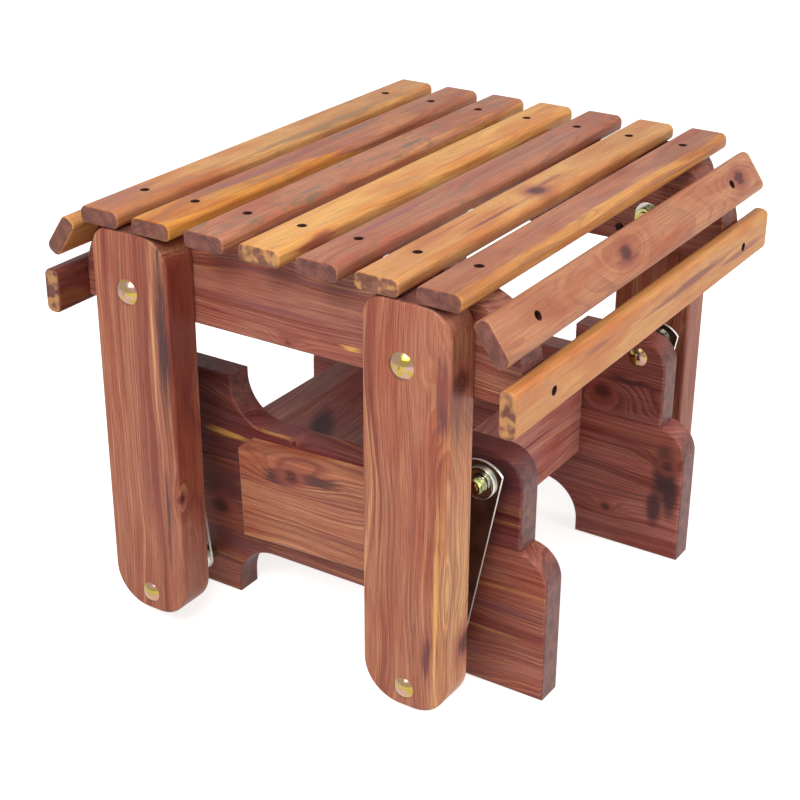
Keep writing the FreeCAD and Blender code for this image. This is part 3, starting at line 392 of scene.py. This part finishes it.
BOARDS = {
    "slat_1": (
        rolled(0),
        dict(
            YELLOW, sap="#cf9d62", pith=(30, -55), seed=1, side=(0.16, 1, 0), edge=-36, blur=9,
            smudge=0.35, end_light=0.0,
            marks=[
                ((70, -16, 6), (190, 6, 12), DAMP_GREY),
                ((-235, 8, 8), (60, 15, 12), "#99614f"),
            ],
        ),
    ),
    "slat_2": (
        rolled(0),
        dict(
            PINK, sap="#dba046", pith=(-20, -50), seed=2, side=(-0.16, -1, 0), edge=19.5, blur=3,
            marks=[
                ((-100, 4, 8), (150, 6, 9), PURPLE_CLOUD),
                ((70, 10, 8), (70, 7, 9), "#7b5d50"),
                ((185, 2, 8), (60, 7, 9), "#935a4c"),
            ],
        ),
    ),
    "slat_3": (
        rolled(0),
        dict(
            PINK, pith=(12, -60), seed=3, side=(0.03, -1, 0), edge=24, blur=4, smudge=0.9,
            marks=[((59, -7, 8), (30, 5, 6), "#6f5a49"), ((-123, -9, 8), (26, 5, 6), "#7b6552")],
        ),
    ),
    "slat_4": (
        rolled(0),
        dict(
            YELLOW, sap="#dfad64", pith=(-14, -48), seed=4, edge=-26, blur=6, streaks=0.5,
            end_light=0.45,
            marks=[((-214, -24, 0), (38, 9, 9), "#96503f"), ((70, -14, 8), (120, 3, 8), "#b87347")],
        ),
    ),
    "slat_5": (
        rolled(0),
        dict(
            PINK, heart="#ae755d", line="#733d38", pith=(20, -52), seed=5, bands=0.7, streaks=0.08,
            smudge=0.5,
            marks=[((-150, 6, 8), (90, 5, 9), PURPLE_CLOUD), ((150, -8, 8), (80, 5, 9), "#8f5e52")],
        ),
    ),
    "slat_6": (
        rolled(0),
        dict(
            YELLOW, sap="#d09d62", pith=(0, -44), seed=6, edge=-30, blur=6, streaks=0.35,
            knots=[(-6, -6, 8, 9, 15)],
            marks=[
                ((-86, -9, 8), (96, 3.2, 8), "#7d463e"),
                ((24, -1, 8), (36, 4.6, 8), "#85493e"),
                ((-150, 8, 8), (70, 3, 8), "#a8654a"),
            ],
        ),
    ),
    "slat_7": (
        rolled(0),
        dict(
            PINK, heart="#b57d5e", pith=(-6, -58), seed=7, side=(0, -1, 0), edge=14, blur=3,
            streaks=0.1,
            marks=[((-60, 3, 8), (120, 4, 8), "#9a6252"), ((120, -4, 8), (80, 4, 8), "#95604f")],
        ),
    ),
    "slat_front_slope": (
        rolled(55),
        dict(
            PINK, heart="#b88362", pith=(6, -40), seed=8, contrast=0.42, smudge=0.2,
            knots=[(-38, 2, 8, 8, 20), (229, 2, 8, 8, 20), (-187, 4, 0, 2, 6)],
            marks=[((-38, -4, 8), (26, 5, 9), "#5a3230")],
        ),
    ),
    "slat_front_face": (
        rolled(90),
        dict(
            YELLOW, sap="#cf975c", pith=(8, -60), seed=9, edge=-26, blur=6, streaks=0.3,
            end_light=0.5,
            marks=[
                ((78, 5, 8), (130, 5, 8), "#7f4640"),
                ((-123, 10, 8), (40, 4, 8), "#98563f"),
                ((205, -4, 8), (70, 5, 8), "#8f5044"),
            ],
        ),
    ),
    "slat_back_slope": (
        rolled(-55),
        dict(
            YELLOW, pith=(0, -50), seed=10, edge=-20, blur=6, smudge=0.35, end_light=0.0,
            marks=[((-200, -19, 9), (110, 9, 12), "#6b3434")],
        ),
    ),
    "slat_back_face": (
        rolled(-90),
        dict(
            PINK, heart="#7d3f3a", pith=(10, -60), seed=11, end_light=0.52, bands=0.8,
            marks=[((-200, 0, 9), (60, 16, 12), "#5f2c30")],
        ),
    ),
    "rail_left": (
        ACROSS_FRAME,
        dict(
            LEG, heart="#ad7465", line="#6b3439", pith=(-230, 10), seed=12, ring=3.2, contrast=0.8,
            bands=0.9, streaks=0.45,
            knots=[(1, -41, -12, 4, 12)],
            marks=[
                ((-67, -31, -19), (15, 3.2, 5), YELLOW_STREAK),
                ((30, -12, -19), (110, 3, 8), "#804a4a"),
                ((-20, 22, -19), (90, 2.6, 8), "#7c4545"),
            ],
        ),
    ),
    "rail_right": (
        ACROSS_FRAME,
        dict(
            LEG, heart="#ad7465", pith=(-200, -20), seed=13,
            knots=[(60, -20, 14, 4, 10)],
            marks=[
                ((-80, 20, 19), (90, 2.6, 8), "#7c4545"),
                ((30, -30, 19), (60, 3, 8), YELLOW_STREAK),
            ],
        ),
    ),
    "leg_back_left": (
        UPRIGHT,
        dict(
            LEG, heart="#b0755e", pith=(170, 30), seed=14, ring=3.4, streaks=0.6, torn=1.2,
            knots=[(-64, -43, 15, 4, 5)],
            marks=[
                ((110, -36, 17), (116, 9, 10), "#33181e"),
                ((-90, -30, 17), (80, 4.5, 8), PURPLE_VEIN),
                ((95, -24, 17), (110, 2.2, 9), "#cf9f78"),
            ],
        ),
    ),
    "leg_front_left": (
        UPRIGHT,
        dict(
            LEG, heart="#b27860", sap="#d9aa7c", pith=(-120, 60), seed=15, side=(-0.05, -1, 0),
            edge=38, blur=5,
            knots=[(-134, -47, -15, 10, 12), (134, -47, 2, 11, 15)],
            marks=[
                ((-80, -33, 17), (110, 3.2, 9), "#dba75f"),
                ((-136, -24, 17), (38, 5, 8), "#5c2f34"),
                ((124, -37, 17), (50, 10, 10), "#5a3036"),
            ],
        ),
    ),
    "leg_back_right": (
        UPRIGHT,
        dict(
            LEG, pith=(150, -40), seed=16,
            knots=[(-60, 22, -14, 6, 10)],
            marks=[
                ((60, -28, -17), (90, 3, 8), PURPLE_VEIN),
                ((-110, 30, -17), (60, 4, 8), YELLOW_STREAK),
            ],
        ),
    ),
    "leg_front_right": (
        UPRIGHT,
        dict(
            LEG, heart="#b5795f", pith=(-140, -20), seed=17,
            knots=[(20, -40, 12, 3, 6), (90, 24, -14, 5, 10)],
            marks=[((-70, -10, -17), (100, 2.6, 8), PURPLE_VEIN)],
        ),
    ),
    "base_lower_left": (
        ACROSS_FRAME,
        dict(
            DARK, heart="#a5675a", pith=(-150, 70), seed=18, ring=3.6, contrast=0.7, streaks=0.5,
            knots=[(140, 20, -12, 9, 20)],
            marks=[
                ((-190, 10, -15), (70, 5, 9), "#743f42"),
                # The second and third marks are painted shadow, cast by the back leg on this board
                ((128, 44, -15), (70, 26, 9), "#5f3133"),
                ((130, -16, -15), (60, 18, 9), "#693838"),
            ],
        ),
    ),
    "base_lower_right": (
        ACROSS_FRAME,
        dict(
            DARK, heart="#b8746b", pith=(-110, -60), seed=19, torn=0.4,
            knots=[(-224, 34, -14, 6, 14), (-155, -36, -14, 4, 14)],
            marks=[
                ((-221, 24, -15), (17, 44, 12), "#2a1017"),
                ((-230, 0, -15), (11, 36, 10), "#34151b"),
                ((-212, -20, -15), (12, 30, 10), "#3a1a1f"),
            ],
        ),
    ),
    "base_upper_left": (
        ACROSS_FRAME,
        dict(
            DARK, heart="#7e4444", pith=(-120, -60), seed=20, bands=1.0,
            knots=[(43, -6, -12, 2.5, 12), (109, 24, -8, 6, 16)],
            marks=[
                ((125, -17, -15), (32, 4.5, 9), YELLOW_STREAK),
                ((66, -2, -15), (30, 3, 9), "#b98350"),
                ((-178, 26, -15), (50, 24, 16), "#47212a"),
            ],
        ),
    ),
    "base_upper_right": (
        ACROSS_FRAME,
        dict(
            DARK, heart="#a86860", pith=(-20, -34), seed=21, ring=3.2, contrast=0.75, streaks=0.1,
            knots=[(-143, -22, -14, 9, 20)],
            marks=[((-170, -4, -15), (40, 5, 10), "#50282b")],
        ),
    ),
    "cleat_left": (
        rolled(-2.1, ACROSS_FRAME),
        dict(
            LEG, heart="#b67e62", sap="#d8aa7c", pith=(-160, 20), seed=22, ring=4.6, contrast=0.8,
            bands=0.9,
            knots=[(24, 34, -10, 7.5, 14)],
            marks=[
                ((0, 36, -14), (40, 9, 9), "#4a2829"),
                ((36, 29, -14), (26, 12, 9), "#452628"),
                ((-40, -22, -14), (80, 2.6, 8), "#8a5348"),
            ],
        ),
    ),
    "cleat_right": (
        ACROSS_FRAME,
        dict(
            LEG, pith=(-120, 30), seed=23,
            knots=[(-30, -12, 12, 6, 12)],
            marks=[((-4, -15, 14), (30, 5, 8), "#6f4039")],
        ),
    ),
    "stretcher_front": (
        CROSSPIECE,
        dict(LEG, heart="#c4847a", sap="#e0ae7c", pith=(-130, 40), seed=24),
    ),
    "stretcher_back": (
        CROSSPIECE,
        dict(
            DARK, heart="#96605a", pith=(-90, 50), seed=25, torn=0.5,
            marks=[
                ((-62, 6, 15), (34, 30, 14), "#260f14"),
                ((-80, -5, 15), (36, 14, 12), "#34171b"),
                ((30, 16, 15), (60, 4, 9), "#6b3b38"),
            ],
        ),
    ),
}
for board, (axes, look) in BOARDS.items():
    cedar_board(board, axes, look)


# Metals: zinc plating on steel. Clear passivation leaves a cool, faintly mottled mirror,
# and yellow passivation one that wanders from gold-green to pink. The arms were sheared
# from dull rolled plate, and their rougher cut edges carry a painted highlight. The bearings
# are ground steel, and the screws have black oxide on them.

PLATE_MOTTLE_MM = 25


def plated_steel(name, colour, tint, roughness, mottle_mm):
    """A mirror-like metal whose tint and gloss wander a little."""
    material, tree, shader = new_material(name)
    place = add(tree, COORDINATES).outputs["Object"]
    wander = add(tree, NOISE, place, 1 / (mottle_mm * MM), 2.0)
    mixed = painted(tree, colour, ramp(tree, wander, 0.35, 0.65), tint)
    gloss = add(tree, RANGE, wander, 0.3, 0.7, roughness * 0.85, roughness * 1.2)
    feed(tree, shader, Base_Color=mixed, Roughness=gloss)
    shader.inputs["Metallic"].default_value = 1.0
    return material


def sheared_plate():
    """Dull rolled faces, and a painted highlight on the rougher edge faces where the plate was cut.
    """
    material, tree, shader = new_material("bright_zinc_plate_with_painted_edge_highlight")
    shape = add(tree, COORDINATES).outputs
    # The edge faces, whose normal lies across the plate, get a near-white painted highlight and
    # more roughness
    facing = scalar(tree, "ABSOLUTE", vector(tree, "DOT_PRODUCT", shape["Normal"], (1, 0, 0)))
    edge_with_painted_highlight = ramp(tree, facing, 0.2, 0.9, 1, 0)
    wander = add(tree, NOISE, shape["Object"], 1 / (PLATE_MOTTLE_MM * MM), 2.0)
    flat = painted(tree, "#a3a39c", ramp(tree, wander, 0.35, 0.65), "#8b8a82")
    colour = painted(tree, flat, edge_with_painted_highlight, "#f0f0ec")
    feed(tree, shader, Base_Color=colour, Roughness=add(tree, RANGE, edge_with_painted_highlight, 0, 1, 0.17, 0.48))
    shader.inputs["Metallic"].default_value = 1.0
    return material


plate_steel = sheared_plate()

# The two colours that each one wanders between, its roughness and its mottling's width
yellow_zinc = plated_steel("yellow_passivated_zinc", "#a08d3e", "#aa8680", 0.17, 6)
green_zinc = plated_steel("green_tinged_zinc", "#8f9a5e", "#b5b083", 0.18, 5)
clear_zinc = plated_steel("bright_zinc_plate", "#bdbdb6", "#a7a69c", 0.2, 30)
ground_steel = plated_steel("ground_bearing_steel", "#d2d2d0", "#bdbdba", 0.14, 12)
black_screw = plated_steel("black_oxide_screw_steel", "#3a2f2c", "#241c1a", 0.45, 3)

for corner in ("front_left", "front_right", "back_left", "back_right"):
    wear(f"arm_{corner}", plate_steel)
    wear(f"bearing_upper_{corner}", ground_steel)
    wear(f"bearing_lower_{corner}", ground_steel)
for joint in ("leg", "lower_pivot", "upper_pivot"):
    wear(f"{joint}_bolts", yellow_zinc)
    wear(f"{joint}_nuts", green_zinc)
    wear(f"{joint}_washers", clear_zinc)
for joint in ("lower_pivot", "upper_pivot"):
    wear(f"{joint}_spacers", clear_zinc)
for node in ("slat_screws", "rail_screws", "cleat_screws"):
    wear(node, black_screw)

dowel_wood, dowel_tree, dowel_shader = new_material("beech_dowel")
dowel_fibre = add(dowel_tree, NOISE, None, 400.0, 3.0)
feed(dowel_tree, dowel_shader, Roughness=add(dowel_tree, RANGE, dowel_fibre, 0.0, 1.0, 0.5, 0.7))
dowel_shader.inputs["Base Color"].default_value = linear("#c8a577")
wear("stretcher_dowels", dowel_wood)


# Floor, backdrop and light, in metres

FLOOR_REACH = 14.0
FLOOR_LEVEL = -0.0005
AIM_HEIGHT = 0.25


def behind_the_object(tree):
    """1 for what the camera sees, straight or in metal, and 0 for light that reaches the object."""
    path = add(tree, "ShaderNodeLightPath").outputs
    seen = scalar(tree, "MAXIMUM", path["Is Camera Ray"], path["Is Glossy Ray"])
    return scalar(tree, "MAXIMUM", seen, path["Is Transmission Ray"])


def make_floor():
    """A grey floor under the object, which the camera sees as white with a soft shadow."""
    mesh = bpy.data.meshes.new("floor")
    signs = ((-1, -1), (1, -1), (1, 1), (-1, 1))
    corners = [(FLOOR_REACH * x, FLOOR_REACH * y, FLOOR_LEVEL) for x, y in signs]
    mesh.from_pydata(corners, [], [(0, 1, 2, 3)])
    floor = bpy.data.objects.new("floor", mesh)
    bpy.context.scene.collection.objects.link(floor)
    material, tree, shader = new_material("pale_floor")
    shader.inputs["Base Color"].default_value = linear("#bdbdbd")
    shader.inputs["Roughness"].default_value = 0.9
    matt = add(tree, "ShaderNodeBsdfDiffuse", "#e6e6e6")
    glow = add(tree, "ShaderNodeEmission", (1, 1, 1, 1), 0.72)
    bright = add(tree, "ShaderNodeAddShader", matt, glow)
    both = add(tree, "ShaderNodeMixShader", behind_the_object(tree), shader, bright)
    tree.links.new(both.outputs[0], tree.nodes["Material Output"].inputs["Surface"])
    mesh.materials.append(material)


def make_world(ambient):
    """A soft light from all round, which the camera sees as plain white."""
    world = bpy.data.worlds.new("studio")
    bpy.context.scene.world = world
    world.use_nodes = True
    tree = world.node_tree
    lit = tree.nodes["Background"]
    lit.inputs["Color"].default_value = linear("#fffaf4")
    lit.inputs["Strength"].default_value = ambient
    white = add(tree, "ShaderNodeBackground", (1, 1, 1, 1), 1.0)
    both = add(tree, "ShaderNodeMixShader", behind_the_object(tree), lit, white)
    tree.links.new(both.outputs[0], tree.nodes["World Output"].inputs["Surface"])


def away(azimuth, elevation):
    """The direction towards a lamp or camera: azimuth 0 is the front, elevation 90 the top."""
    azimuth, elevation = math.radians(azimuth), math.radians(elevation)
    level = math.cos(elevation)
    return Vector((math.sin(azimuth) * level, -math.cos(azimuth) * level, math.sin(elevation)))


def softbox(name, azimuth, elevation, distance, size, power, colour):
    """A square area light that looks at the middle of the object."""
    back = away(azimuth, elevation)
    lamp = bpy.data.lights.new(name, "AREA")
    lamp.shape = "SQUARE"
    lamp.size = size
    lamp.energy = power
    lamp.color = linear(colour)[:3]
    stand = bpy.data.objects.new(name, lamp)
    stand.location = Vector((0, 0, AIM_HEIGHT)) + back * distance
    stand.rotation_euler = back.to_track_quat("Z", "Y").to_euler()
    bpy.context.scene.collection.objects.link(stand)


make_floor()
make_world(ambient=0.36)
softbox("key", azimuth=-78, elevation=46, distance=2.6, size=1.6, power=68, colour="#fff8ee")
softbox("fill", azimuth=8, elevation=24, distance=3.0, size=2.0, power=44, colour="#ffffff")
bpy.context.scene.view_settings.view_transform = "Standard"


# Camera: a 74 mm view from the front left, fitted to the corners of the boards

CAMERA_AZIMUTH = -57.479
CAMERA_ELEVATION = 25.559
CAMERA_ROLL = 0.325
CAMERA_LENS = 74.21
CAMERA_PLACE = Vector((-1337.6, -824.8, 939.2)) * MM


def make_camera():
    back = away(CAMERA_AZIMUTH, CAMERA_ELEVATION)
    roll = math.radians(CAMERA_ROLL)
    level = Vector((0, 0, 1)).cross(back).normalized()
    rise = back.cross(level)
    right = level * math.cos(roll) + rise * math.sin(roll)
    up = rise * math.cos(roll) - level * math.sin(roll)
    lens = bpy.data.cameras.new("camera")
    lens.sensor_width = 36.0
    lens.lens = CAMERA_LENS
    camera = bpy.data.objects.new("camera", lens)
    camera.matrix_world = Matrix((right, up, back)).transposed().to_4x4()
    camera.location = CAMERA_PLACE
    bpy.context.scene.collection.objects.link(camera)
    bpy.context.scene.camera = camera


make_camera()
